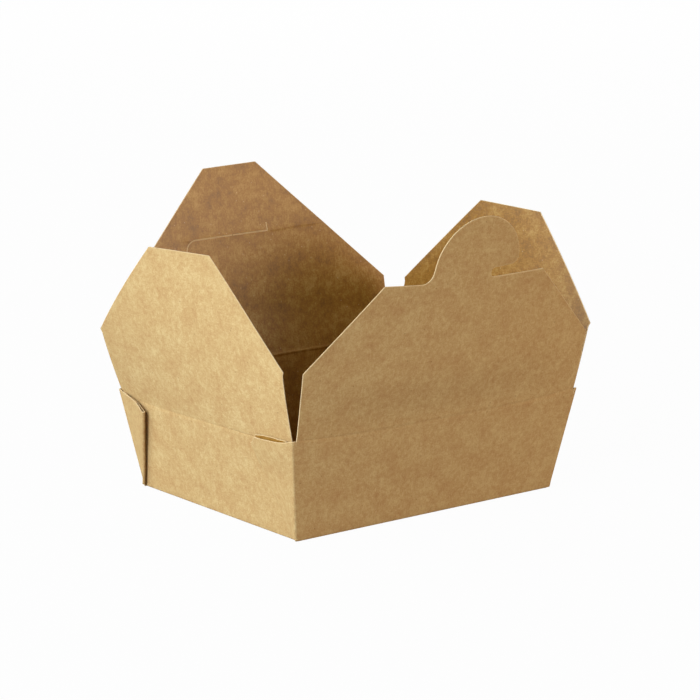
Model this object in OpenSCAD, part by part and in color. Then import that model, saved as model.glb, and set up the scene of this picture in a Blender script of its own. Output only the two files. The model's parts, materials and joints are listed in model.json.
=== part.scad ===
// Takeaway box folded from one die-cut sheet of kraft board, standing open.
// The tray's four corner webs are folded double and glued flat on the outside of the end walls.
// Four lid flaps stand on the walls. The front one ends in a hook that locks into the back one's slit.
// Lengths are in millimetres. +X runs along the box, +Z is up, and the hook is on the -Y side.
// The origin is the middle of the base's underside.

/* [Tray] */
// Length of the flat base
base_l = 149; // [130:1:180]
// Width of the flat base
base_w = 120; // [100:1:145]
// Height of the long walls' creases above the table
tray_h = 50; // [40:1:65]
// How far each end wall's top stands out beyond its foot
end_flare = 8.5; // [5:0.5:14]
// How far each long wall's top stands out beyond its foot
side_flare = 9; // [5:0.5:14]
// How much lower the end walls' creases lie than the long walls' creases
end_drop = 4; // [2.5:0.5:7]

/* [Board] */
// Thickness of the kraft board
board_t = 0.5; // [0.35:0.05:0.7]
// Air between the layers of a folded corner web
layer_gap = 0.15; // [0.1:0.05:0.4]
// Clearance between a wall's top edge and the rounded foot of its flap
crease_gap = 0.3; // [0.2:0.05:0.5]
// Clearance between a flap's side edges and the walls or flaps beside it
side_clear = 0.5; // [0.4:0.1:1.5]

/* [Corner webs] */
// Height up the end wall at which a web's folded edge ends
web_fold_h = 42.5; // [30:0.5:43]
// Width of a web's top edge, from the corner to its chamfer
web_top_w = 23; // [12:0.5:27]

/* [Front flap] */
// Height of the front flap's straight right side, to its shoulder
front_shoulder_h = 29.5; // [20:0.5:45]
// Height of the front flap without its hook
front_flap_h = 66.5; // [55:0.5:80]
// How much higher the front flap's left shoulder and corner are cut than its right ones
front_left_rise = 3.2; // [0:0.1:6]
// Width of the front flap's top edge
front_top_w = 93; // [75:1:120]
// Outward lean of the front flap from upright, in degrees
front_lean_deg = 12; // [0:0.5:30]
// How far the middle of the front flap bows outwards
front_bow = 4.5; // [0.5:0.5:7]

/* [Hook] */
// Radius of the hook's round head
hook_r = 25; // [20:0.5:28]
// Distance of the head's centre to the right of the box's middle
hook_x = 5.5; // [0:0.5:12]
// Height of the head's centre above the flap's top edge
hook_rise = 6; // [3:0.5:9]
// Width of the slot under the hook's right side
slot_w = 4.8; // [4.5:0.1:6]
// Distance of the slot's round end to the right of the head's centre
slot_start = 8.4; // [4:0.1:13]
// Radius of the hook's lower right corner
hook_tip_r = 4; // [2:0.5:6]
// Radius of the hollow round at the hook's left root
hook_root_r = 6; // [3:0.5:10]

/* [Back flap] */
// Height of the back flap's straight sides, to its shoulders
back_shoulder_h = 31.5; // [20:0.5:45]
// Height of the back flap
back_flap_h = 96.5; // [85:0.5:105]
// Width of the back flap's top edge
back_top_w = 32; // [20:1:40]
// Outward lean of the back flap from upright, in degrees
back_lean_deg = 12.5; // [0:0.5:30]
// How far the middle of the back flap bows outwards
back_bow = 3.5; // [0.5:0.5:7]
// Height above their creases at which both long flaps' bows are full
bow_h = 28; // [15:1:29]

/* [Slit] */
// Height of the slit above the back flap's crease
slit_h = 62; // [50:0.5:72]
// Distance of the slit's straight left end from the middle
slit_left = 27; // [20:0.5:32]
// Distance of the slit's right end from the middle
slit_right = 17; // [10:0.5:24]
// Width of the cut
slit_w = 0.6; // [0.4:0.05:0.8]
// Radius of the slit's left end, which turns down
slit_bend_r = 6; // [3:0.5:9]
// Height of the short cut that stands up at the slit's right end
tick_h = 4; // [2:0.5:6]
// Place of the uncut tie in the slit, left of the middle
tie_x = 4; // [0:0.5:12]
// Length of the uncut tie
tie_w = 0.8; // [0.5:0.1:1.5]
// Depth of the scored line from the slit to the flap's right edge
score_d = 0.15; // [0.05:0.05:0.2]
// Width of the scored line
score_w = 1.2; // [0.6:0.1:2]

/* [End flaps] */
// Height of the end flaps' straight sides, to their shoulders
end_shoulder_h = 35.5; // [25:0.5:45]
// Width of the end flaps at their shoulders
end_shoulder_w = 133; // [120:1:135]
// Height of the end flaps
end_flap_h = 81.5; // [60:0.5:82]
// Width of the end flaps' top edges
end_top_w = 39; // [25:1:60]
// Outward lean of the left end flap from upright, in degrees
left_lean_deg = 10; // [0:0.5:30]
// Outward lean of the right end flap from upright, in degrees
right_lean_deg = 13.5; // [0:0.5:30]

/* [Hidden] */
$fn = 48;
kraft = [0.69, 0.53, 0.36];
kraft_inside = [0.62, 0.47, 0.30];

// Walls: their inner faces start at the top of the base and lean out by these angles
rise = tray_h - board_t;
side_lean = atan2(side_flare, rise);
end_lean = atan2(end_flare, rise);
side_slope = norm([side_flare, rise]);
end_slope = norm([end_flare, rise]);

// Creases: each flap turns about a line in the middle of the board
crease_drop = board_t / 2 + crease_gap;
end_crease_v = end_slope * (rise - end_drop) / rise;
side_axis_y = base_w / 2 + side_flare + cos(side_lean) * board_t / 2;
side_axis_z = tray_h - sin(side_lean) * board_t / 2;
end_axis_x = base_l / 2 + end_flare * end_crease_v / end_slope + cos(end_lean) * board_t / 2;
end_axis_z = tray_h - end_drop - sin(end_lean) * board_t / 2;

// Corner webs: the fold halves the angle that the blank leaves between two walls
end_skew = atan2(side_flare, end_slope);
side_skew = atan2(end_flare, side_slope);
fold_lean = (90 - end_skew - side_skew) / 2 - end_skew;
layer_step = board_t + layer_gap;
web_reach = 2 * layer_step;
fold_r = board_t + layer_gap / 2;
crease_r = 0.9 * board_t;
foot_r = 0.55 * board_t;
web_foot_v = 2 * board_t;
web_v = end_crease_v - crease_drop - layer_gap;

// Widths at the creases, inside the walls that stand beside them
side_flap_w = base_l + 2 * end_flare - 2 * side_clear;
end_flap_w = base_w + 2 * side_flare * end_crease_v / end_slope - 2 * side_clear;

// Flats across the bow of a long flap, and the overlap of outlines that join into one
bow_strips = 8;
lap = 2 * board_t;

// Place under the hook where the front flap's sloping top edge meets its level one
fall_x = hook_x - hook_r / 2;
hook_top = front_flap_h + hook_rise + hook_r;

// Half width of a long wall and of an end wall at a height v up their slope.
// The end walls and their webs run half way into the long walls' board, where the corner is creased.
function side_half(v) = base_l / 2 + web_reach / cos(end_lean) + v * tan(side_skew);
function end_half(v) = base_w / 2 + board_t / 2 + v * tan(end_skew);

// Puts what is drawn flat on a wall's inner face: X along it, Y up its slope, Z outwards
module on_wall(turn, reach, lean) {
    rotate([0, 0, turn]) translate([0, -reach, board_t]) rotate([90 + lean, 0, 0]) children();
}

// Puts what is drawn flat on a flap: X along its crease, Y up the flap, Z outwards
module on_crease(turn, reach, height, lean) {
    rotate([0, 0, turn]) translate([0, -reach, height]) rotate([90 + lean, 0, 0]) children();
}

// Round outside of a crease between two panels whose inner faces meet from start to end
module crease(start, end) {
    run = end - start;
    translate(start)
        rotate([0, acos(run.z / norm(run)), atan2(run.y, run.x)])
            cylinder(h = norm(run), r = crease_r);
}

module wall(turn, reach, lean, half_low, half_high, height) {
    on_wall(turn, reach, lean)
        linear_extrude(height = board_t)
            polygon([[-half_low, 0], [half_low, 0], [half_high, height], [-half_high, height]]);
}

module long_walls() {
    top_v = side_slope - crease_drop;
    for (turn = [0, 180])
        wall(turn, base_w / 2, side_lean, side_half(0), side_half(top_v), top_v);
}

module end_walls() {
    top_v = end_crease_v - crease_drop;
    for (turn = [90, -90])
        wall(turn, base_l / 2, end_lean, end_half(0), end_half(top_v), top_v);
}

module base() {
    translate([-base_l / 2, -base_w / 2, 0]) cube([base_l, base_w, board_t]);
    foot_x = side_half(0);
    for (side = [-1, 1]) {
        crease([-foot_x, side * base_w / 2, board_t], [foot_x, side * base_w / 2, board_t]);
        crease([side * base_l / 2, -base_w / 2, board_t], [side * base_l / 2, base_w / 2, board_t]);
    }
}

// A point of a web's folded edge, at a height v up the end wall's slope
function fold_point(v) = [end_half(0) - v * tan(fold_lean), v];

// Outline of one web layer on the end wall, which starts just above the foot's crease
module web_outline() {
    polygon([
        [end_half(web_foot_v), web_foot_v],
        [end_half(web_v), web_v],
        [end_half(web_v) - web_top_w, web_v],
        fold_point(web_fold_h),
        fold_point(web_foot_v)
    ]);
}

// Board bent double along a web's folded edge, with its outside in flats
module double_fold() {
    start = fold_point(web_foot_v + board_t);
    run = norm(fold_point(web_fold_h) - start);
    outside = [for (a = [-90:36:90]) fold_r * [cos(a), sin(a)]];
    translate([start.x, start.y, layer_step + fold_r])
        rotate([0, 0, 90 + fold_lean])
            rotate([90, 0, 90])
                linear_extrude(height = run)
                    polygon(concat([[-board_t, -fold_r]], outside, [[-board_t, fold_r]]));
}

// One folded web: an inner layer from the end wall, bent double into an outer layer to the long wall
module corner_web() {
    on_wall(90, base_l / 2, end_lean) {
        for (layer = [1, 2])
            translate([0, 0, layer * layer_step]) linear_extrude(height = board_t) web_outline();
        double_fold();
    }
    foot = [side_half(0), base_w / 2, board_t];
    climb = [end_flare, side_flare, rise] / side_slope;
    crease(foot + climb * web_foot_v, foot + climb * (side_slope - 2 * crease_drop));
}

module tray() {
    color(kraft) {
        base();
        long_walls();
        end_walls();
        for (across = [0, 1], along = [0, 1])
            mirror([across, 0, 0]) mirror([0, along, 0]) corner_web();
    }
}

// Round foot of a flap, along its crease
module flap_foot(crease_w) {
    translate([-crease_w / 2, 0, 0]) rotate([0, 90, 0]) cylinder(h = crease_w, r = foot_r);
}

// Flat flap with the outline of the children
module flat_flap(crease_w) {
    translate([0, 0, -board_t / 2]) linear_extrude(height = board_t) children();
    flap_foot(crease_w);
}

// How far a long flap bows outwards at x along its crease and a height v above it.
// It is straight at the crease and along its two sides, and bowed in full from bow_h up.
function bow_at(x, v, bow) = bow * max(0, 1 - pow(2 * x / side_flap_w, 2)) * min(v / bow_h, 1);

// Bowed board before its outline is cut, built from rings round its cross-section
// and moved outwards by shift
module bowed_board(top_h, bow, shift = 0) {
    across = [for (i = [0:bow_strips]) (side_flap_w + 2 * board_t) * (i / bow_strips - 0.5)];
    there = [for (x = across) [x, -board_t / 2]];
    back = [for (i = [bow_strips:-1:0]) [across[i], board_t / 2]];
    ring = concat(there, back);
    heights = [-board_t, bow_h, top_h + board_t];
    points = [for (v = heights, p = ring) [p.x, v, p.y + bow_at(p.x, v, bow) + shift]];
    n = len(ring);
    last = (len(heights) - 1) * n;
    sides = [
        for (low = [0:n:last - n], i = [0:n - 1])
            let (a = low + i, b = low + (i + 1) % n)
            each [[a, b, b + n], [a, b + n, a + n]]
    ];
    caps = [[for (i = [n - 1:-1:0]) i], [for (i = [0:n - 1]) last + i]];
    polyhedron(points = points, faces = concat(sides, caps));
}

// Bowed flap with the outline of the children
module bowed_flap(top_h, bow) {
    intersection() {
        bowed_board(top_h, bow);
        translate([0, 0, -board_t]) linear_extrude(height = bow + 2 * board_t) children();
    }
    flap_foot(side_flap_w);
}

// Outline of a flap with its crease along X. Its left side may be cut higher by left_rise,
// and its top edge then falls to top_h on the way to fall_x.
module flap_outline(crease_w, shoulder_w, shoulder_h, top_w, top_h, left_rise = 0, fall_x = 0) {
    polygon([
        [-crease_w / 2, 0],
        [crease_w / 2, 0],
        [shoulder_w / 2, shoulder_h],
        [top_w / 2, top_h],
        [fall_x, top_h],
        [-top_w / 2, top_h + left_rise],
        [-shoulder_w / 2, shoulder_h + left_rise]
    ]);
}

// Board that fills the hollow round between the hook's head and the sloping top edge on its left
module hook_root(centre) {
    fall = atan2(front_left_rise, fall_x + front_top_w / 2);
    across = [sin(fall), cos(fall)];
    along = [-cos(fall), sin(fall)];
    above = (centre - [fall_x, front_flap_h]) * across;
    run = sqrt(pow(hook_r + hook_root_r, 2) - pow(above - hook_root_r, 2));
    root = centre + (hook_root_r - above) * across + run * along;
    on_head = centre + (root - centre) * hook_r / (hook_r + hook_root_r);
    on_edge = root - hook_root_r * across;
    difference() {
        polygon([on_edge - lap * across, on_edge, root, on_head, centre, centre - (above + lap) * across]);
        translate(root) circle(r = hook_root_r);
    }
}

// Hook that stands on the front flap's top edge
module hook_outline() {
    centre = [hook_x, front_flap_h + hook_rise];
    slot_top = front_flap_h + slot_w;
    tip_y = slot_top + hook_tip_r;
    tip_run = sqrt(pow(hook_r - hook_tip_r, 2) - pow(tip_y - centre.y, 2));
    tip = [hook_x + tip_run, tip_y];
    tip_way = (tip - centre) / norm(tip - centre);
    far = centre + 2 * hook_r * tip_way;
    slot_end = [hook_x + slot_start + slot_w / 2, front_flap_h + slot_w / 2];
    difference() {
        union() {
            intersection() {
                translate(centre) circle(r = hook_r);
                translate([hook_x - hook_r, front_flap_h - lap]) square(2 * hook_r + lap);
            }
            hook_root(centre);
        }
        difference() {
            polygon([tip, [tip.x, slot_top - lap], [far.x, slot_top - lap], far]);
            translate(tip) circle(r = hook_tip_r);
        }
        translate(slot_end) circle(r = slot_w / 2);
        translate([slot_end.x, front_flap_h]) square([2 * hook_r, slot_w]);
    }
}

module front_flap() {
    color(kraft)
        on_crease(0, side_axis_y, side_axis_z, front_lean_deg)
            bowed_flap(hook_top, front_bow) {
                flap_outline(side_flap_w, side_flap_w, front_shoulder_h, front_top_w, front_flap_h,
                    front_left_rise, fall_x);
                hook_outline();
            }
}

// Cut that the hook goes through: a straight run with a tie, a round end and an upright tick
module slit_outline() {
    bend = [slit_left, slit_h - slit_bend_r];
    translate([-slit_right, slit_h - slit_w / 2])
        square([slit_right + tie_x - tie_w / 2, slit_w]);
    translate([tie_x + tie_w / 2, slit_h - slit_w / 2])
        square([slit_left - tie_x - tie_w / 2, slit_w]);
    translate([-slit_right - slit_w / 2, slit_h - slit_w / 2]) square([slit_w, tick_h + slit_w / 2]);
    intersection() {
        difference() {
            translate(bend) circle(r = slit_bend_r + slit_w / 2);
            translate(bend) circle(r = slit_bend_r - slit_w / 2);
        }
        translate(bend) square(2 * slit_bend_r);
    }
}

module back_flap() {
    edge_x = back_top_w / 2 + (side_flap_w - back_top_w) / 2
        * (back_flap_h - slit_h) / (back_flap_h - back_shoulder_h);
    score_from = slit_right + slit_w;
    color(kraft_inside)
        on_crease(180, side_axis_y, side_axis_z, back_lean_deg)
            difference() {
                bowed_flap(back_flap_h, back_bow) {
                    flap_outline(side_flap_w, side_flap_w, back_shoulder_h, back_top_w, back_flap_h);
                }
                translate([0, 0, -board_t]) linear_extrude(height = back_bow + 2 * board_t) slit_outline();
                intersection() {
                    bowed_board(back_flap_h, back_bow, score_d - board_t);
                    translate([-edge_x - score_w, slit_h - score_w / 2, -2 * board_t])
                        cube([edge_x + score_w - score_from, score_w, back_bow + 2 * board_t]);
                }
            }
}

module end_flap(turn, lean) {
    on_crease(turn, end_axis_x, end_axis_z, lean)
        flat_flap(end_flap_w) {
            flap_outline(end_flap_w, end_shoulder_w, end_shoulder_h, end_top_w, end_flap_h);
        }
}

module left_end_flap() {
    color(kraft) end_flap(-90, left_lean_deg);
}

module right_end_flap() {
    color(kraft_inside) end_flap(90, right_lean_deg);
}

tray();
front_flap();
back_flap();
left_end_flap();
right_end_flap();
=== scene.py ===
# Takeaway box of folded kraft board, standing open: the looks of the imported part
import json
import math

import bpy
import numpy as np
from mathutils import Matrix, Vector
from mathutils.geometry import delaunay_2d_cdt


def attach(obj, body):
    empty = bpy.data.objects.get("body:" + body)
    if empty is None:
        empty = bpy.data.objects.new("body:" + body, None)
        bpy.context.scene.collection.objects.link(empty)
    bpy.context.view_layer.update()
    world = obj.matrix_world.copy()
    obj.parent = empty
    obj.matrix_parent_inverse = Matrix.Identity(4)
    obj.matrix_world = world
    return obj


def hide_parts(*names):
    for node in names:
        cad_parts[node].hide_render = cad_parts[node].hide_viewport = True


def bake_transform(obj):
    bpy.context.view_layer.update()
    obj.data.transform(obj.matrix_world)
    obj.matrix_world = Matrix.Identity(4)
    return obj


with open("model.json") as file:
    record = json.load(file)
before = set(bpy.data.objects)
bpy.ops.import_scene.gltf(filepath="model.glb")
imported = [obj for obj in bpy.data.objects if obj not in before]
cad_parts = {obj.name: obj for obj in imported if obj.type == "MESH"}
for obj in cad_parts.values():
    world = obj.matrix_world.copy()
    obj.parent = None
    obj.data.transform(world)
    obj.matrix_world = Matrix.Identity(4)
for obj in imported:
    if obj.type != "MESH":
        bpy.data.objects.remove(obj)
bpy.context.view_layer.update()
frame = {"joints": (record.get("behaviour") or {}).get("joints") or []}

print("frame loaded")

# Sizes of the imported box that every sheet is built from, in millimetres. The foot arc is the length of
# sheet that a fold along the base takes, and the mitre limit keeps the bevel short at sharp corners.
box = {
    "baseLength": 149.0,
    "baseWidth": 120.0,
    "height": 50.0,
    "endFlare": 8.5,
    "sideFlare": 9.0,
    "board": 0.5,
    "foldRadius": 0.9,
    "footArc": 1.6,
    "seamDrop": 3.2,
    "bevel": 0.2,
    "bevelDepth": 0.07,
    "lipBevel": 0.24,
    "mitreLimit": 1.2,
}
tiny = 1e-9
touch = 0.01  # points nearer than this lie on the same line

rise = box["height"] - box["board"]
sideLean = math.atan2(box["sideFlare"], rise)
endLean = math.atan2(box["endFlare"], rise)
joints = {joint["name"]: joint for joint in frame["joints"]}
sideAxis = Vector(joints["back_crease"]["pos_m"]) * 1000
endAxis = Vector(joints["right_end_crease"]["pos_m"]) * 1000


def smooth(x):
    x = np.clip(x, 0, 1)
    return x * x * (3 - 2 * x)


def bump(x, centre, reach):
    return np.exp(-(((x - centre) / reach) ** 2))


def unit(v):
    return v / np.maximum(np.linalg.norm(v, axis=-1, keepdims=True), tiny)


def stack(x, y, z):
    return np.stack(np.broadcast_arrays(x, y, z), -1).astype(float)


# Board of real thickness from a flat pattern and the place of each of its points in the box.
# Its cut edges are bevelled, a seam is left square, and blank gives its place on the unfolded box.
# Sides are numbered as the materials are: 0 for outside, 1 for inside and 2 for a cut edge.
def boardSheet(name, flat, faces, place, blank, seam, flip=False, lips=None):
    flat = np.array(flat, float)
    step = 0.02
    mid = place(flat)
    across = place(flat + [step, 0]) - place(flat - [step, 0])
    along = place(flat + [0, step]) - place(flat - [0, step])
    normal = unit(np.cross(across, along)) * (-1 if flip else 1)
    if flip:
        faces = [list(reversed(face)) for face in faces]
    used = {}
    for face in faces:
        for i, j in zip(face, face[1:] + face[:1]):
            used[(i, j)] = True
    rim = [(i, j) for (i, j) in used if (j, i) not in used]
    inward = np.zeros_like(mid)
    for i, j in rim:
        side = unit(np.cross(normal[i] + normal[j], mid[j] - mid[i]))
        inward[i] += side
        inward[j] += side
    onRim = sorted({i for pair in rim for i in pair})
    long = np.linalg.norm(inward, axis=1)
    mitre = np.where(long > 0, 2 / np.maximum(long, box["mitreLimit"]), 0)
    inward = inward / np.maximum(long, tiny)[:, None] * mitre[:, None]
    cut = np.full(len(flat), box["bevel"])
    if lips is not None:
        cut[lips(flat)] = box["lipBevel"]
    cut[seam(flat)] = 0
    half = box["board"] / 2
    pulled = mid + inward * cut[:, None]
    edgeHalf = (half - np.minimum(cut[onRim], box["bevelDepth"]))[:, None]
    count = len(flat)
    ringOf = {i: 2 * count + k for k, i in enumerate(onRim)}
    backOf = {i: 2 * count + len(onRim) + k for k, i in enumerate(onRim)}
    verts = np.vstack([
        pulled + normal * half,
        pulled - normal * half,
        mid[onRim] + normal[onRim] * edgeHalf,
        mid[onRim] - normal[onRim] * edgeHalf,
    ])
    polys = [list(face) for face in faces]
    sides = [0] * len(faces)
    polys += [[i + count for i in reversed(face)] for face in faces]
    sides += [1] * len(faces)
    for i, j in rim:
        if cut[i] == 0 and cut[j] == 0:
            polys.append([i, i + count, j + count, j])
            sides.append(1)
            continue
        polys.append([i, ringOf[i], ringOf[j], j])
        polys.append([ringOf[i], backOf[i], backOf[j], ringOf[j]])
        polys.append([backOf[i], i + count, j + count, backOf[j]])
        sides += [2, 2, 2]
    mesh = bpy.data.meshes.new(name)
    mesh.from_pydata((verts * 0.001).tolist(), [], polys)
    mesh.update()
    mesh.polygons.foreach_set("material_index", sides)
    mesh.polygons.foreach_set("use_smooth", [side < 2 for side in sides])
    sharp = {tuple(sorted(pair)) for pair in rim}
    sharp |= {(a + count, b + count) for a, b in sharp}
    for e in mesh.edges:
        e.use_edge_sharp = tuple(sorted(e.vertices)) in sharp
    pattern = mesh.uv_layers.new(name="sheet")
    onBlank = blank(flat) * 0.01  # one unit of the map is 100 mm of board
    where = np.vstack([onBlank, onBlank, onBlank[onRim], onBlank[onRim]])
    loopVerts = np.zeros(len(mesh.loops), int)
    mesh.loops.foreach_get("vertex_index", loopVerts)
    pattern.data.foreach_set("uv", where[loopVerts].ravel())
    mesh.validate()
    piece = bpy.data.objects.new(name, mesh)
    bpy.context.scene.collection.objects.link(piece)
    return piece


# Spacing of points along a slit and clear of the outline, as shares of the outline's own spacing, then
# the clearance of a slit, how near two points count as one, and the smallest triangle's area
cutting = {"slitShare": 0.4, "rimShare": 0.32, "slitClear": 0.3, "onePoint": 1e-5, "leastArea": 0.02}


# Flat pattern with any outline and slits, cut into triangles that follow a grid
def cutPattern(outline, slits, grid, reach):
    points, edges = [], []

    def ring(loop, reach):
        start = len(points)
        loop = [np.array(p, float) for p in loop]
        for a, b in zip(loop, loop[1:] + loop[:1]):
            parts = max(1, int(np.linalg.norm(b - a) / reach + 0.5))
            for k in range(parts):
                points.append(a + (b - a) * k / parts)
        count = len(points) - start
        edges.extend((start + k, start + (k + 1) % count) for k in range(count))
        return np.array(points[start:])

    outer = ring(outline, reach)
    inner = [ring(slit, cutting["slitShare"] * reach) for slit in slits]
    border = np.array(points)
    spare = np.array([[x, y] for x in grid[0] for y in grid[1]])
    keep = inside(spare, outer)
    for hole in inner:
        keep &= ~inside(spare, hole)
    spare = spare[keep]
    starts, stops = np.array([(points[i], points[j]) for i, j in edges]).transpose(1, 0, 2)
    onOutline = np.arange(len(edges)) < len(outer)
    clear = np.where(onOutline, cutting["rimShare"] * reach, cutting["slitClear"])
    keep = [np.all(lineGap(p, starts, stops) > clear) for p in spare]
    spare = spare[keep]
    points = [tuple(p) for p in border] + [tuple(p) for p in spare]
    flat, _, faces, _, _, _ = delaunay_2d_cdt([Vector(p) for p in points], edges, [], 0, cutting["onePoint"])
    flat = np.array([tuple(v) for v in flat])
    corners = np.array([flat[list(face)] for face in faces])
    centres = corners.mean(axis=1)
    sides = corners[:, 1:] - corners[:, :1]
    area = np.abs(sides[:, 0, 0] * sides[:, 1, 1] - sides[:, 0, 1] * sides[:, 1, 0]) / 2
    good = inside(centres, outer) & (area > cutting["leastArea"])
    for hole in inner:
        good &= ~inside(centres, hole)
    return flat, [list(face) for face, ok in zip(faces, good) if ok]


# Distance of a point from each of many lines
def lineGap(p, starts, stops):
    along = stops - starts
    t = np.clip(np.sum((p - starts) * along, axis=1) / np.sum(along**2, axis=1), 0, 1)
    return np.linalg.norm(starts + along * t[:, None] - p, axis=1)


# Whether each point lies inside a closed loop
def inside(points, loop):
    x, y = points[:, 0], points[:, 1]
    hit = np.zeros(len(points), bool)
    for (ax, ay), (bx, by) in zip(loop, np.roll(loop, -1, axis=0)):
        crosses = (ay > y) != (by > y)
        with np.errstate(divide="ignore", invalid="ignore"):
            hit ^= crosses & (x < (bx - ax) * (y - ay) / (by - ay) + ax)
    return hit


def arc(centre, radius, start, end, steps):
    turn = np.radians(np.linspace(start, end, steps + 1))
    return [(centre[0] + radius * math.cos(t), centre[1] + radius * math.sin(t)) for t in turn]


# Tray: one sheet runs from web to web over the long wall, under the base and up the other side.
# Each web has its fold's angle, its top edge as distance across and height, how far its two layers
# part, how far it lifts at its fold, and how much higher its inner layer stands.
tray = {
    "cornerTurn": 1.0,
    "cornerArc": 1.6,
    "webReach": 1.57,
    "webInner": 0.91,
    "webLength": 33.0,
    "foldArc": 1.5,
    "wallBow": 1.6,
    "endBow": 0.5,
    "endBowHalf": 68.0,
    "endBowTop": 46.0,
    "seamColumn": 82.84,
    "creaseLevel": 46.5,
    "webRise": 1.6,
    "webRiseOver": 5.0,
    "webFootDrop": 1.0,
    "leastSpare": 0.8,
    "webs": {
        (-1, -1): {"fold": 28.0, "edge": [(37.0, 43.0), (41.5, 46.6), (59.0, 47.7), (66.0, 48.9), (69.5, 49.7)],
                   "gape": 1.5, "lift": 0.1, "inner": 1.6},
        (-1, 1): {"fold": 17.5, "edge": [(45.6, 40.9), (52.6, 44.9), (58.0, 45.7), (67.8, 47.7), (69.5, 47.9)],
                  "gape": 0.1, "lift": 2.5, "inner": -0.7},
        (1, -1): {"fold": 26.0, "edge": [(38.5, 42.5), (44.0, 46.6), (59.0, 47.4), (67.5, 48.9), (69.5, 49.5)],
                  "gape": 0.6, "lift": 0.4, "inner": 0.4},
        (1, 1): {"fold": 25.5, "edge": [(38.8, 42.5), (45.0, 46.4), (58.0, 47.0), (67.0, 48.8), (69.5, 50.3)],
                 "gape": 0.5, "lift": 0.8, "inner": 0.3},
    },
}

# How every web's layers part towards the top edge and lift towards the fold
webShape = {
    "foldClear": 0.8,
    "turnShare": 0.4,
    "partStart": 0.12,
    "partPower": 0.6,
    "partLow": 30.0,
    "partRise": 16.0,
    "partCorner": 0.03,
    "liftLow": 0.5,
    "liftTop": 44.0,
    "liftPower": 1.2,
    "innerPart": 0.5,
    "innerLift": 0.7,
}

footTurn = box["foldRadius"] * math.tan((math.pi / 2 - sideLean) / 2)
baseEdge = box["baseWidth"] / 2 - footTurn
footTop = baseEdge + box["footArc"]
endEdge = box["baseLength"] / 2 + box["board"] / 2 - footTurn
endFootTop = endEdge + box["footArc"]
cornerX = box["baseLength"] / 2 + box["endFlare"] + tray["webReach"]
wallEnd = cornerX - tray["cornerTurn"]
webStart = wallEnd + tray["cornerArc"]
webFold = webStart + tray["webLength"]
webBack = webFold + tray["foldArc"]
webSpan = webFold - webStart


# Middle line of the end walls and of the long walls at a height
def lineX(z):
    return box["baseLength"] / 2 + box["endFlare"] * (z - box["board"]) / rise


def lineY(z):
    return sideAxis.y - (sideAxis.z - z) * math.tan(sideLean)


# Bow of the long walls and of the end walls
def sideBow(x, z):
    return tray["wallBow"] * np.clip(1 - (x / cornerX) ** 2, 0, 1) * smooth(z / box["height"])


def endBow(y, z):
    return tray["endBow"] * np.clip(1 - (y / tray["endBowHalf"]) ** 2, 0, 1) * smooth(z / tray["endBowTop"])


# Reach and height of a wall that turns up out of the base, for a distance b from the base's middle
def footProfile(b, edge, foot, lean, reach):
    low = box["board"] / 2
    t = np.clip((b - edge) / (foot - edge), 0, 1)
    corner = np.array([reach, low])
    start = corner - [footTurn, 0]
    stop = corner + footTurn * np.array([math.sin(lean), math.cos(lean)])
    out = (1 - t) ** 2 * start[0] + 2 * t * (1 - t) * corner[0] + t**2 * stop[0]
    z = (1 - t) ** 2 * start[1] + 2 * t * (1 - t) * corner[1] + t**2 * stop[1]
    beyond = np.maximum(b - foot, 0)
    out = np.where(b < edge, b + start[0] - edge, out + beyond * math.sin(lean))
    return out, z + beyond * math.cos(lean)


# Place in the box of the tray's sheet: q runs along the box and round its corners, b across it
def trayPlace(flat):
    q, b = flat[:, 0], flat[:, 1]
    side, end = np.where(q < 0, -1, 1), np.where(b < 0, -1, 1)
    qa, ba = np.abs(q), np.abs(b)
    wallY, z = footProfile(ba, baseEdge, footTop, sideLean, lineY(box["board"] / 2))
    cx = lineX(z) + tray["webReach"]
    x = np.minimum(qa, wallEnd) * cx / cornerX
    y = wallY + sideBow(x, z)
    fold, gape, lift = np.zeros(len(q)), np.zeros(len(q)), np.zeros(len(q))
    for (sx, sy), web in tray["webs"].items():
        here = (side == sx) & (end == sy)
        fold[here], gape[here], lift[here] = math.tan(math.radians(web["fold"])), web["gape"], web["lift"]
    foldY = np.minimum(box["baseWidth"] / 2 - z * fold, wallY - webShape["foldClear"])
    turn = np.minimum(tray["cornerTurn"], webShape["turnShare"] * (wallY - foldY))
    t = np.clip((qa - wallEnd) / (webStart - wallEnd), 0, 1)
    m = np.clip((qa - webStart) / webSpan, 0, 1)
    m = np.where(qa > webBack, 1 - (qa - webBack) / webSpan, m)
    webY = wallY - turn - m * (wallY - turn - foldY)
    partStart, liftLow = webShape["partStart"], webShape["liftLow"]
    parted = gape * np.sin(np.pi * np.clip(partStart + (1 - partStart) * m, 0, 1)) ** webShape["partPower"]
    parted = parted * smooth((z - webShape["partLow"]) / webShape["partRise"])
    parted = parted * smooth(m / webShape["partCorner"])
    away = lift * (liftLow + (1 - liftLow) * smooth(z / webShape["liftTop"]))
    away = away * np.clip(m, 0, 1) ** webShape["liftPower"]
    outer = cx + parted + away + endBow(webY, z)
    inner = cx - tray["webReach"] + tray["webInner"] + webShape["innerPart"] * parted
    inner = inner + webShape["innerLift"] * away + endBow(webY, z)
    bendX = (1 - t) ** 2 * x + 2 * t * (1 - t) * cx + t**2 * cx
    bendY = (1 - t) ** 2 * wallY + 2 * t * (1 - t) * wallY + t**2 * (wallY - turn)
    turned = np.clip((qa - webFold) / (webBack - webFold), 0, 1) * np.pi
    half = (outer - inner) / 2
    onBend = (qa > wallEnd) & (qa <= webStart)
    onWeb = (qa > webStart) & (qa <= webFold)
    onFold = (qa > webFold) & (qa <= webBack)
    onBack = qa > webBack
    parts = [onBend, onWeb, onFold, onBack]
    x = np.select(parts, [bendX, outer, inner + half + half * np.cos(turned), inner], x)
    y = np.select(parts, [bendY, webY, foldY - half * np.sin(turned), webY], y)
    return stack(side * x, end * y, z)


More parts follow.
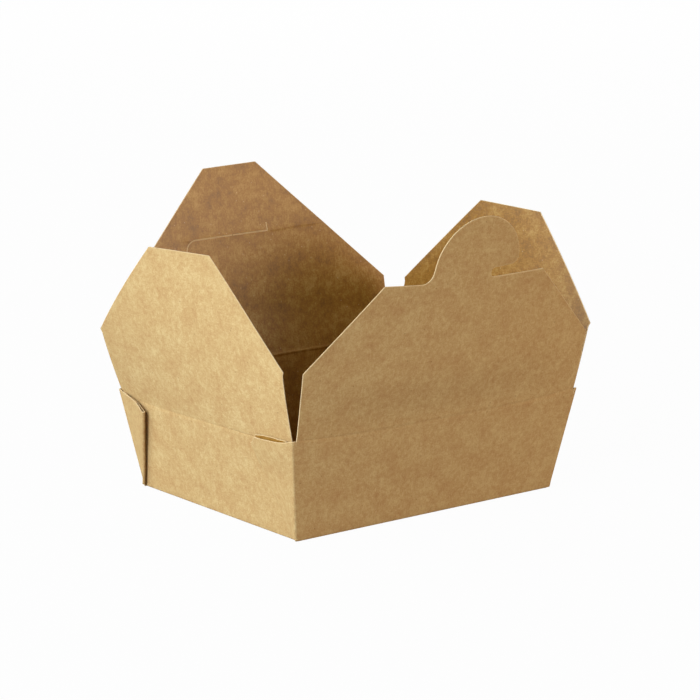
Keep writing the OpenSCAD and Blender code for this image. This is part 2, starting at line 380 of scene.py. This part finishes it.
# Height of the top edge for each column of the sheet's corners and webs
def topHeight(q, sx, sy):
    web = tray["webs"][(sx, sy)]
    if q <= webStart:
        return web["edge"][-1][1]
    m = (q - webStart) / webSpan
    if q > webBack:
        m = 1 - (q - webBack) / webSpan
    m = min(max(m, 0), 1)
    level = tray["creaseLevel"]
    foldY = box["baseWidth"] / 2 - level * math.tan(math.radians(web["fold"]))
    y = lineY(level) - tray["cornerTurn"] - m * (lineY(level) - tray["cornerTurn"] - foldY)
    across, heights = zip(*web["edge"])
    spare = web["inner"] * math.sin(math.pi * m) if q > webBack else 0.0
    return spare + float(np.interp(max(y, across[0]), across, heights))


# Distance along the sheet at which a wall reaches a height
def heightToFlat(z, foot, lean):
    zFoot = box["board"] / 2 + footTurn * math.cos(lean)
    return foot + (z - zFoot) / math.cos(lean)


# Points and four-sided faces of a sheet whose rows may leave out some places
def gridSheet(columns, rows):
    index, points, faces = {}, [], []
    for i, column in enumerate(columns):
        for j, b in enumerate(rows(column)):
            if b is not None:
                index[(i, j)] = len(points)
                points.append((column, b))
    for i in range(len(columns) - 1):
        for j in range(len(rows(columns[i])) - 1):
            cell = [(i, j), (i + 1, j), (i + 1, j + 1), (i, j + 1)]
            if all(c in index for c in cell):
                faces.append([index[c] for c in cell])
    return points, faces


# Number of steps across each part of the tray's sheet
trayGrid = {"base": 48, "corner": 6, "web": 10, "fold": 6, "foot": 5, "wall": 14, "floor": 35, "spare": 2,
            "endWidth": 40, "endWall": 13}


def steps(start, stop, count):
    return list(np.linspace(start, stop, count + 1))


seamZ = sideAxis.z - box["seamDrop"] * math.cos(sideLean)
seamColumn = tray["seamColumn"]
baseColumn = endEdge * cornerX / (lineX(box["board"] / 2) + tray["webReach"])
wing = [seamColumn, wallEnd] + steps(wallEnd, webStart, trayGrid["corner"])[1:]
wing += steps(webStart, webFold, trayGrid["web"])[1:] + steps(webFold, webBack, trayGrid["fold"])[1:]
wing += [webBack + webSpan * k / trayGrid["web"] for k in range(1, trayGrid["web"])]
columns = [-q for q in reversed(wing)] + steps(-baseColumn, baseColumn, trayGrid["base"]) + wing
seamAt = heightToFlat(seamZ, footTop, sideLean)
climb = steps(baseEdge, footTop, trayGrid["foot"]) + steps(footTop, seamAt, trayGrid["wall"])[1:]
floorRows = steps(-baseEdge, baseEdge, trayGrid["floor"])[1:-1]


# Rows of one column of the tray's sheet. Beyond the walls it starts a little above the base.
def trayRows(q):
    rows = []
    drop = tray["webFootDrop"]
    for sy in (-1, 1):
        top = topHeight(abs(q), -1 if q < 0 else 1, sy)
        low = min(seamZ, top - tray["leastSpare"])
        stretch = (heightToFlat(low, footTop, sideLean) - footTop) / (seamAt - footTop)
        upper = []
        webFoot = footTop - drop + tray["webRise"] * float(smooth((abs(q) - wallEnd) / tray["webRiseOver"]))
        for b in climb:
            if abs(q) > seamColumn and b < footTop - drop:
                upper.append(None)
            else:
                b = b if b <= footTop else footTop + (b - footTop) * stretch
                if abs(q) > wallEnd:
                    b = webFoot + (b - footTop + drop) * (seamAt - webFoot) / (seamAt - footTop + drop)
                upper.append(b)
        for k in range(1, trayGrid["spare"] + 1):
            z = low + (top - low) * k / trayGrid["spare"]
            upper.append(heightToFlat(z, footTop, sideLean) if abs(q) >= seamColumn else None)
        if sy < 0:
            rows = [None if b is None else -b for b in reversed(upper)]
        else:
            rows += (floorRows if abs(q) <= baseColumn + touch else [None] * len(floorRows)) + upper
    return rows


# Where the tray's sheet meets the flaps and the end walls
def traySeam(flat):
    q, b = np.abs(flat[:, 0]), np.abs(flat[:, 1])
    onTop = (np.abs(b - seamAt) < touch) & (q <= seamColumn + touch)
    onEnds = (np.abs(q - baseColumn) < touch) & (b <= baseEdge + touch)
    return onTop | onEnds


flat, faces = gridSheet(columns, trayRows)
trayBoard = boardSheet("tray_board", flat, faces, trayPlace, lambda f: f, traySeam, flip=True)
print("tray board folded:", len(trayBoard.data.polygons), "faces")


# End walls, which turn up out of the base and end a little below their flaps' creases
endSeamZ = endAxis.z - box["seamDrop"] * math.cos(endLean)
endSeamAt = heightToFlat(endSeamZ, endFootTop, endLean)


# Place of an end wall's points in the box: s runs across it, b out from the base's middle and up
def endWallPlace(sx):
    def place(flat):
        s, b = flat[:, 0], flat[:, 1]
        out, z = footProfile(b, endEdge, endFootTop, endLean, endEdge + footTurn)
        y = s * (lineY(z) - box["board"] / 2) / lineY(endSeamZ)
        return stack(sx * (out + endBow(y, z)), y, z)
    return place


# Place of an end panel's points on the unfolded box, a distance start beyond the base's middle
def endBlank(sx, start):
    return lambda flat: np.stack([sx * (start + flat[:, 1]), flat[:, 0]], 1)


def endWallSeam(flat):
    return (flat[:, 1] > endSeamAt - touch) | (flat[:, 1] < endEdge + touch)


endParts = []
for sx in (-1, 1):
    ss = steps(-lineY(endSeamZ), lineY(endSeamZ), trayGrid["endWidth"])
    bs = steps(endEdge, endFootTop, trayGrid["foot"]) + steps(endFootTop, endSeamAt, trayGrid["endWall"])[1:]
    flat, faces = gridSheet(ss, lambda s: bs)
    name = "left_end_wall" if sx < 0 else "right_end_wall"
    endParts.append(boardSheet(name, flat, faces, endWallPlace(sx), endBlank(sx, 0), endWallSeam, flip=sx < 0))
print("end walls folded")


# Lid flaps: each starts on its wall, a little below the crease. In a flap's own sheet s runs along the
# crease and u up from it. Leans and twists are in degrees, and the score line sags and stands out as a bead.
frontFlap = {"lean": 12.3, "bowLow": 1.6, "bow": 4.4, "sag": 2.1, "bead": 0.2, "half": 82.3}
backFlap = {"lean": 12.6, "bowLow": 1.6, "bow": 3.6, "sag": -0.8, "bead": 0.4, "half": 82.3}
leftFlap = {"lean": 9.7, "twist": 6.8, "bulge": 3.0, "sag": 0.9, "sagSlope": 0.02, "bead": 0.2, "half": 67.6}
rightFlap = {"lean": 13.4, "twist": -4.85, "bulge": 1.3, "sag": 0.6, "sagSlope": 0.0, "bead": 0.15, "half": 67.6}
flapShape = {"bowOver": 25.0, "beadWidth": 0.55, "bulgeOver": 82.0, "twistOver": 69.0, "wallBowOver": 30.0}


# Sag and bead of a flap's score line
def scoreSag(flap, s):
    depth = flap["sag"] + flap.get("sagSlope", 0.0) * s
    return depth * np.clip(1 - (s / flap["half"]) ** 4, 0, 1)


def scoreBead(flap, s, u):
    return -flap["bead"] * bump(u, -scoreSag(flap, s), flapShape["beadWidth"])


def longFlapPlace(flap, sy):
    def place(flat):
        s, u = flat[:, 0], flat[:, 1]
        lean = np.where(u > 0, math.radians(flap["lean"]), sideLean)
        z = sideAxis.z + u * np.cos(lean)
        grow = flap["bowLow"] + (flap["bow"] - flap["bowLow"]) * smooth(u / flapShape["bowOver"])
        bow = np.where(u > 0, grow * np.clip(1 - (s / cornerX) ** 2, 0, 1), sideBow(s, z))
        bead = scoreBead(flap, s, u) + pressed(flap, s, u)
        y = sideAxis.y + bow + u * np.sin(lean) + bead * np.cos(lean)
        return stack(s, sy * y, z - bead * np.sin(lean))
    return place


def endFlapPlace(flap, sx):
    def place(flat):
        s, u = flat[:, 0], flat[:, 1]
        lean = np.where(u > 0, np.radians(flap["lean"] + flap["twist"] * s / flapShape["twistOver"]), endLean)
        bulge = flap["bulge"] * np.sin(np.pi * np.clip(u / flapShape["bulgeOver"], 0, 1))
        bulge = bulge + scoreBead(flap, s, u)
        wallBow = endBow(s, endAxis.z + np.minimum(u, 0)) * smooth(1 - u / flapShape["wallBowOver"])
        z = endAxis.z + u * np.cos(lean) - bulge * np.sin(lean)
        x = endAxis.x + u * np.sin(lean) + bulge * np.cos(lean) + wallBow
        return stack(sx * x, s, z)
    return place


# The back flap's slit is cut from left to right, round a bend at its left end and up a tick at its right,
# and held by one small tie. The score beside it runs to the flap's edge. The die leaves both a little
# ridged, and the board above them bends back by a degree or two.
slit = {
    "height": 61.9, "left": -27.0, "right": 16.9, "bendRadius": 5.8, "tick": 3.8, "tie": -4.3, "tieHalf": 0.4,
    "width": 0.06, "scoreStart": 17.0, "scoreEnd": 49.5, "ridge": 0.3, "lowerRidge": 0.4, "scoreRidge": 0.5,
    "ridgeWidth": 1.3, "scoreWidth": 0.75, "scoreRise": 0.6, "scoreRiseOver": 20.0, "bend": 1.5,
    "lipsBefore": 8.0, "lipsPast": 1.0, "lipsFade": 4.0, "scorePast": 2.0, "scoreFade": 2.0, "endFade": 3.0,
    "lipReach": 0.5, "lipLeft": 6.5, "tickMiddle": 1.5, "tickReach": 2.5,
}


# Height of the slit's lips, the score and the bent top over the plain flap. The lips and the score fade
# out over a few millimetres at their ends.
def pressed(flap, s, u):
    if flap is not backFlap:
        return np.zeros_like(s)
    above = u - slit["height"]
    onSlit = smooth((s - slit["left"] + slit["lipsBefore"]) / slit["lipsFade"])
    onSlit = onSlit * smooth((slit["right"] + slit["lipsPast"] - s) / slit["endFade"])
    onScore = smooth((s - slit["right"]) / slit["scoreFade"])
    onScore = onScore * smooth((slit["scoreEnd"] + slit["scorePast"] - s) / slit["endFade"])
    lips = np.where(above > 0, -slit["ridge"], -slit["lowerRidge"] * slit["ridge"])
    lips = lips * np.exp(-np.abs(above) / slit["ridgeWidth"]) * onSlit
    line = slit["scoreRise"] * smooth((s - slit["scoreStart"]) / slit["scoreRiseOver"])
    score = -slit["scoreRidge"] * slit["ridge"] * bump(above, line, slit["scoreWidth"]) * onScore
    bent = np.maximum(above, 0) * math.tan(math.radians(slit["bend"]))
    return lips + score + bent


# Grid of a flap: fine rows in a band at the crease and in one at a slit, and wide rows elsewhere
flapMesh = {
    "reach": 2.7, "inset": 1.5, "row": 3.0, "creaseRow": 0.4, "slitRow": 0.35, "plainRow": 61.0,
    "creaseBand": (-2.6, 2.1), "lowBand": (4.0, 59.0), "slitBand": (59.2, 64.6), "topStart": 64.5,
}


def flapGrid(half, top, slits):
    xs = np.arange(-half + flapMesh["inset"], half, flapMesh["reach"])
    ys = [np.arange(*flapMesh["creaseBand"], flapMesh["creaseRow"])]
    ys.append(np.arange(*flapMesh["lowBand"], flapMesh["row"]))
    slitRows = np.arange(*flapMesh["slitBand"], flapMesh["slitRow"])
    ys.append(slitRows if slits else np.array([flapMesh["plainRow"]]))
    ys.append(np.arange(flapMesh["topStart"], top, flapMesh["row"]))
    return xs, np.sort(np.concatenate(ys))


# Outlines as cut, in millimetres along the crease and up from it. The front one ends in the hook: the
# slot under its head, the head, and the hollow on its left.
frontOutline = [(-82.3, -3.2), (82.3, -3.2), (82.3, 0.0), (83.8, 29.3), (46.8, 66.3), (17.0, 66.4)]
frontOutline += arc((16.3, 68.8), 2.4, -80, -270, 10)
frontOutline += [(20.4, 71.2), (25.0, 71.6)] + arc((25.6, 75.6), 4.0, -85, 5, 7)
frontOutline += arc((5.2, 72.3), 24.8, 12, 178, 40)
frontOutline += arc((-25.6, 73.6), 5.8, 0, -92, 9)
frontOutline += [(-46.6, 69.6), (-83.8, 32.5), (-82.3, 0.0)]

backOutline = [(-82.3, -3.2), (82.3, -3.2), (82.3, 0.0), (83.1, 31.8), (15.9, 96.5)]
backOutline += [(-15.8, 96.1), (-83.1, 31.8), (-82.3, 0.0)]
endOutline = [(-67.6, -3.2), (67.6, -3.2), (67.6, 0.0), (66.1, 33.6), (66.7, 35.4), (19.9, 81.7)]
endOutline += [(-19.9, 82.0), (-66.7, 35.4), (-66.0, 33.6), (-67.6, 0.0)]

slitHalf = slit["width"] / 2
slitLow, slitHigh = slit["height"] - slitHalf, slit["height"] + slitHalf
tickLeft, tickRight, tickTop = slit["right"] - slitHalf, slit["right"] + slitHalf, slit["height"] + slit["tick"]
tieLeft, tieRight = slit["tie"] - slit["tieHalf"], slit["tie"] + slit["tieHalf"]
bendAt = (slit["left"], slit["height"] - slit["bendRadius"])
leftCut = [(tieLeft, slitLow), (tieLeft, slitHigh)]
leftCut += arc(bendAt, slit["bendRadius"] + slitHalf, 90, 175, 8)
leftCut += arc(bendAt, slit["bendRadius"] - slitHalf, 175, 90, 8)
rightCut = [(tieRight, slitLow), (tickRight, slitLow), (tickRight, tickTop),
            (tickLeft, tickTop), (tickLeft, slitHigh), (tieRight, slitHigh)]


def flapSeam(flat):
    return flat[:, 1] < touch - box["seamDrop"]


# Points on the slit's lips, which the die bevels more than an outer edge
def slitLips(flat):
    s, u = flat[:, 0], flat[:, 1]
    reach = slit["lipReach"]
    onRun = (s > slit["left"] - slit["lipLeft"]) & (s < slit["right"] + slit["lipsPast"])
    onRun &= np.abs(u - slit["height"]) < reach
    onBend = np.abs(np.hypot(s - bendAt[0], u - bendAt[1]) - slit["bendRadius"]) < reach
    onTick = np.abs(u - slit["height"] - slit["tickMiddle"]) < slit["tickReach"]
    onTick &= np.abs(s - slit["right"]) < reach
    return onRun | (onBend & (s < bendAt[0])) | onTick


# Place of a flap's points on the unfolded box
def longBlank(sy):
    return lambda flat: np.stack([flat[:, 0], sy * (seamAt + box["seamDrop"] + flat[:, 1])], 1)


def endFlapBlank(sx):
    return endBlank(sx, endSeamAt + box["seamDrop"])


flaps = {}
for name, flap, outline, slits, place, blank, flip in (
    ("front_flap", frontFlap, frontOutline, [], longFlapPlace(frontFlap, -1), longBlank(-1), False),
    ("back_flap", backFlap, backOutline, [leftCut, rightCut], longFlapPlace(backFlap, 1), longBlank(1), True),
    ("left_end_flap", leftFlap, endOutline, [], endFlapPlace(leftFlap, -1), endFlapBlank(-1), True),
    ("right_end_flap", rightFlap, endOutline, [], endFlapPlace(rightFlap, 1), endFlapBlank(1), False),
):
    grid = flapGrid(flap["half"], max(u for s, u in outline), slits)
    flat, faces = cutPattern(outline, slits, grid, flapMesh["reach"])
    lips = slitLips if slits else None
    flaps[name] = boardSheet(name + "_board", flat, faces, place, blank, flapSeam, flip=flip, lips=lips)
    print(name, "cut:", len(flaps[name].data.polygons), "faces")


# Colours are written as sRGB hex and turned linear here
def colour(hexCode):
    parts = [int(hexCode[i:i + 2], 16) / 255 for i in (1, 3, 5)]
    return [c / 12.92 if c <= 0.04045 else ((c + 0.055) / 1.055) ** 2.4 for c in parts] + [1.0]


# Adds a node to a material or world, with its settings, and its inputs from values or sockets
def addNode(owner, kind, settings=None, inputs=None):
    node = owner.node_tree.nodes.new(kind)
    for key, value in (settings or {}).items():
        setattr(node, key, value)
    for key, value in (inputs or {}).items():
        if isinstance(value, bpy.types.NodeSocket):
            owner.node_tree.links.new(value, node.inputs[key])
        else:
            node.inputs[key].default_value = value
    return node


# Unbleached kraft board, left bare outside: a cloudy, fibrous, matt sheet with a few dark flecks.
# Patterns are in millimetres. Real fibres are about 0.03 mm wide, and are drawn coarser so that they show.
kraftOutside = {
    "name": "kraftBoardUncoated",
    "dark": "#aa7f51",
    "base": "#ba9865",
    "pale": "#cbaf7d",
    "fleck": "#7d5a34",
    "fleckShare": 0.5,
    "roughness": 0.85,
    "specular": 0.2,
    "cloud": 11.0,
    "cloudShare": 0.22,
    "blotch": 2.4,
    "blotchShare": 0.32,
    "grain": 0.8,
    "grainShare": 0.28,
    "spread": 0.143,
    "fibreWide": 0.5,
    "fibreLong": 2.4,
    "fibreShare": 0.18,
    "fleckSpacing": 5.5,
    "fleckSize": 0.09,
    "fleckCore": 0.3,
    "relief": 0.3,
    "reliefDepth": 0.0003,
    "shift": 0.0,
}

# The same board with a thin food-safe film laminated inside: darker, streaked along the grain, with a
# greyish sheen, and pale specks that are painted highlights, small glints on the fibres
kraftLined = dict(
    kraftOutside, name="kraftBoardFilmLined", dark="#744b12", base="#90621b", pale="#a98140",
    # The pale fleck colour here is a painted highlight: small glints on the fibres
    fleck="#d8c4a4", fleckShare=0.4, roughness=0.42, specular=0.38, cloudShare=0.26, blotch=3.0,
    blotchShare=0.3, grainShare=0.24, spread=0.112, fibreWide=0.6, fibreLong=4.0, fibreShare=0.2,
    fleckSpacing=3.8, fleckSize=0.1, relief=0.16, shift=37.0,
)


# Colour and relief both come from one tone: clouds, blotches, fibres and grain added by their shares
def boardFinish(look):
    material = bpy.data.materials.new(look["name"])
    material.use_nodes = True
    material.node_tree.nodes.clear()
    sheet = addNode(material, "ShaderNodeUVMap", {"uv_map": "sheet"})
    millimetres = addNode(material, "ShaderNodeMapping", {}, {
        "Vector": sheet.outputs["UV"], "Scale": (100, 100, 100), "Location": (look["shift"],) * 3})
    place = millimetres.outputs["Vector"]
    cloud = addNode(material, "ShaderNodeTexNoise", {}, {
        "Vector": place, "Scale": 1 / look["cloud"], "Detail": 3.0, "Roughness": 0.5})
    blotch = addNode(material, "ShaderNodeTexNoise", {}, {
        "Vector": place, "Scale": 1 / look["blotch"], "Detail": 4.0, "Roughness": 0.6, "Distortion": 0.4})
    strands = addNode(material, "ShaderNodeMapping", {}, {
        "Vector": place, "Scale": (1 / look["fibreWide"], 1 / look["fibreLong"], 1.0)})
    fibre = addNode(material, "ShaderNodeTexNoise", {}, {
        "Vector": strands.outputs["Vector"], "Scale": 1.0, "Detail": 3.0, "Roughness": 0.6, "Distortion": 1.2})
    grain = addNode(material, "ShaderNodeTexNoise", {}, {
        "Vector": place, "Scale": 1 / look["grain"], "Detail": 2.0, "Roughness": 0.7})
    tone = None
    shares = {"cloudShare": cloud, "blotchShare": blotch, "fibreShare": fibre, "grainShare": grain}
    for share, part in shares.items():
        below = tone.outputs[0] if tone else 0.0
        tone = addNode(material, "ShaderNodeMath", {"operation": "MULTIPLY_ADD"}, {
            0: part.outputs["Fac"], 1: look[share], 2: below})
    ramp = addNode(material, "ShaderNodeValToRGB", {}, {"Fac": tone.outputs[0]})
    ramp.color_ramp.elements[0].position = 0.5 - look["spread"]
    ramp.color_ramp.elements[0].color = colour(look["dark"])
    ramp.color_ramp.elements[1].position = 0.5 + look["spread"]
    ramp.color_ramp.elements[1].color = colour(look["pale"])
    ramp.color_ramp.elements.new(0.5).color = colour(look["base"])
    # Flecks: dark ones on the bare outside board; on the lined side they are pale, painted highlights on the
    # fibres
    specks = addNode(material, "ShaderNodeTexVoronoi", {"feature": "F1"}, {
        "Vector": place, "Scale": 1 / look["fleckSpacing"], "Randomness": 1.0})
    speck = addNode(material, "ShaderNodeMapRange", {"interpolation_type": "SMOOTHSTEP"}, {
        "Value": specks.outputs["Distance"], "From Min": look["fleckSize"],
        "From Max": look["fleckSize"] * look["fleckCore"], "To Min": 0.0, "To Max": look["fleckShare"]})
    mixed = addNode(material, "ShaderNodeMix", {"data_type": "RGBA"}, {
        "Factor": speck.outputs["Result"], "A": ramp.outputs["Color"], "B": colour(look["fleck"])})
    relief = addNode(material, "ShaderNodeBump", {}, {
        "Height": tone.outputs[0], "Strength": look["relief"], "Distance": look["reliefDepth"]})
    shader = addNode(material, "ShaderNodeBsdfPrincipled", {}, {
        "Base Color": mixed.outputs["Result"], "Roughness": look["roughness"],
        "Specular IOR Level": look["specular"], "Normal": relief.outputs["Normal"]})
    addNode(material, "ShaderNodeOutputMaterial", {}, {"Surface": shader.outputs["BSDF"]})
    return material


# Die-cut edge: the pale, dry core of the board, which gives every outline a thin light line
cutEdge = {
    "name": "kraftBoardDieCutEdge",
    "base": "#dabf93",
    "baseAt": 0.6,
    "dark": "#c1a071",
    "darkAt": 0.3,
    "roughness": 0.95,
    "specular": 0.2,
    "fibre": 0.3,
}


def edgeFinish(look):
    material = bpy.data.materials.new(look["name"])
    material.use_nodes = True
    material.node_tree.nodes.clear()
    sheet = addNode(material, "ShaderNodeUVMap", {"uv_map": "sheet"})
    fibre = addNode(material, "ShaderNodeTexNoise", {}, {
        "Vector": sheet.outputs["UV"], "Scale": 100 / look["fibre"], "Detail": 2.0})
    ramp = addNode(material, "ShaderNodeValToRGB", {}, {"Fac": fibre.outputs["Fac"]})
    ramp.color_ramp.elements[0].position = look["darkAt"]
    ramp.color_ramp.elements[0].color = colour(look["dark"])
    ramp.color_ramp.elements[1].position = look["baseAt"]
    ramp.color_ramp.elements[1].color = colour(look["base"])
    shader = addNode(material, "ShaderNodeBsdfPrincipled", {}, {
        "Base Color": ramp.outputs["Color"], "Roughness": look["roughness"],
        "Specular IOR Level": look["specular"]})
    addNode(material, "ShaderNodeOutputMaterial", {}, {"Surface": shader.outputs["BSDF"]})
    return material


finishes = [boardFinish(kraftOutside), boardFinish(kraftLined), edgeFinish(cutEdge)]
for piece in [trayBoard, *endParts, *flaps.values()]:
    for finish in finishes:
        piece.data.materials.append(finish)
print("board finished in", len(finishes), "materials")

# The tray's sheets stay with the tray; each flap's place is baked into its mesh and its imported part is hidden
for piece in [trayBoard, *endParts]:
    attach(piece, "tray")
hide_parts("tray")
for name, piece in flaps.items():
    joint = joints[{"front_flap": "front_crease", "back_flap": "back_crease",
                    "left_end_flap": "left_end_crease", "right_end_flap": "right_end_crease"}[name]]
    axis = Vector(joint["pos_m"])
    outwards = Vector((axis.x, axis.y, 0)).normalized()
    lean = sideLean if "end" not in name else endLean
    up = Vector((0, 0, math.cos(lean))) + outwards * math.sin(lean)
    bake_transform(piece)
    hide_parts(name)

# White studio paper: the camera and reflections see it as white with a faint shadow of the box
ground = {"size": 4.0, "colour": "#aeaeae", "whiteShare": 0.975}


# Share of white for the rays that show the background: the camera's, and those of gloss and glass
def whiteShare(owner, share):
    rays = addNode(owner, "ShaderNodeLightPath")
    gloss = addNode(owner, "ShaderNodeMath", {"operation": "MAXIMUM"}, {
        0: rays.outputs["Is Camera Ray"], 1: rays.outputs["Is Glossy Ray"]})
    glass = addNode(owner, "ShaderNodeMath", {"operation": "MAXIMUM"}, {
        0: gloss.outputs[0], 1: rays.outputs["Is Transmission Ray"]})
    shown = addNode(owner, "ShaderNodeMath", {"operation": "MULTIPLY"}, {0: glass.outputs[0], 1: share})
    return shown.outputs[0]


def groundFinish(look):
    material = bpy.data.materials.new("studioPaperGround")
    material.use_nodes = True
    material.node_tree.nodes.clear()
    diffuse = addNode(material, "ShaderNodeBsdfDiffuse", {}, {"Color": colour(look["colour"])})
    white = addNode(material, "ShaderNodeEmission", {}, {"Color": (1, 1, 1, 1), "Strength": 1.0})
    share = whiteShare(material, look["whiteShare"])
    mixed = addNode(material, "ShaderNodeMixShader", {}, {
        "Fac": share, 1: diffuse.outputs["BSDF"], 2: white.outputs["Emission"]})
    addNode(material, "ShaderNodeOutputMaterial", {}, {"Surface": mixed.outputs["Shader"]})
    return material


reach = ground["size"] / 2
corners = [(-reach, -reach, 0), (reach, -reach, 0), (reach, reach, 0), (-reach, reach, 0)]
floorMesh = bpy.data.meshes.new("ground")
floorMesh.from_pydata(corners, [], [(0, 1, 2, 3)])
floor = bpy.data.objects.new("ground", floorMesh)
bpy.context.scene.collection.objects.link(floor)
floor.data.materials.append(groundFinish(ground))

# Soft studio light: two broad keys on the left, a fill low on the right in front, and two from behind
lights = {
    "keyLow": {"place": (-2.0, -0.35, 0.25), "size": 1.2, "watts": 33.5, "colour": (0.79, 0.88, 1.0)},
    "keyHigh": {"place": (-1.7, -0.5, 1.1), "size": 1.2, "watts": 36.5, "colour": (0.85, 0.935, 1.0)},
    "fill": {"place": (1.6, -1.3, 0.3), "size": 1.2, "watts": 40.5, "colour": (1.0, 0.8, 0.595)},
    "back": {"place": (-1.5, 1.3, 0.8), "size": 1.2, "watts": 18.0, "colour": (0.9, 1.0, 0.99)},
    "backRight": {"place": (1.3, 1.6, 0.8), "size": 1.2, "watts": 24.0, "colour": (1.0, 0.98, 0.96)},
}
room = {"colour": (1.0, 1.0, 1.0), "strength": 0.02}
lampAim = Vector((0, 0, 0.05))
for name, light in lights.items():
    data = bpy.data.lights.new(name, "AREA")
    data.shape = "SQUARE"
    data.size = light["size"]
    data.energy = light["watts"]
    data.color = light["colour"]
    lamp = bpy.data.objects.new(name, data)
    lamp.location = light["place"]
    lamp.rotation_euler = (lampAim - lamp.location).to_track_quat("-Z", "Y").to_euler()
    bpy.context.scene.collection.objects.link(lamp)

world = bpy.data.worlds.new("studio")
bpy.context.scene.world = world
world.use_nodes = True
world.node_tree.nodes.clear()
soft = addNode(world, "ShaderNodeBackground", {}, {"Color": (*room["colour"], 1), "Strength": room["strength"]})
seen = addNode(world, "ShaderNodeBackground", {}, {"Color": (1, 1, 1, 1), "Strength": 1.0})
choose = addNode(world, "ShaderNodeMixShader", {}, {
    "Fac": whiteShare(world, 1.0), 1: soft.outputs["Background"], 2: seen.outputs["Background"]})
addNode(world, "ShaderNodeOutputWorld", {}, {"Surface": choose.outputs["Shader"]})

# Camera, worked out from the box's edges in the photograph: about 1.5 m away, 14 degrees above the table
view = {"around": -37.918, "above": 14.393, "distance": 1.5, "height": 0.025,
        "lens": 161.48, "sensor": 36.0, "clipEnd": 20.0, "aimAside": 0.00099, "aimUp": 0.0275}
around, above = math.radians(view["around"]), math.radians(view["above"])
back = Vector((math.sin(around) * math.cos(above), -math.cos(around) * math.cos(above), math.sin(above)))
right = Vector((0, 0, 1)).cross(back).normalized()
up = back.cross(right)
ahead = (-back + right * view["aimAside"] + up * view["aimUp"]).normalized()
camera = bpy.data.objects.new("camera", bpy.data.cameras.new("camera"))
camera.data.lens = view["lens"]
camera.data.sensor_width = view["sensor"]
camera.data.clip_end = view["clipEnd"]
camera.location = back * view["distance"] + Vector((0, 0, view["height"]))
across = ahead.cross(Vector((0, 0, 1))).normalized()
upright = across.cross(ahead)
camera.rotation_euler = Matrix((across, upright, -ahead)).transposed().to_euler()
bpy.context.scene.collection.objects.link(camera)
bpy.context.scene.camera = camera
bpy.context.scene.view_settings.view_transform = "Standard"
print("studio set")
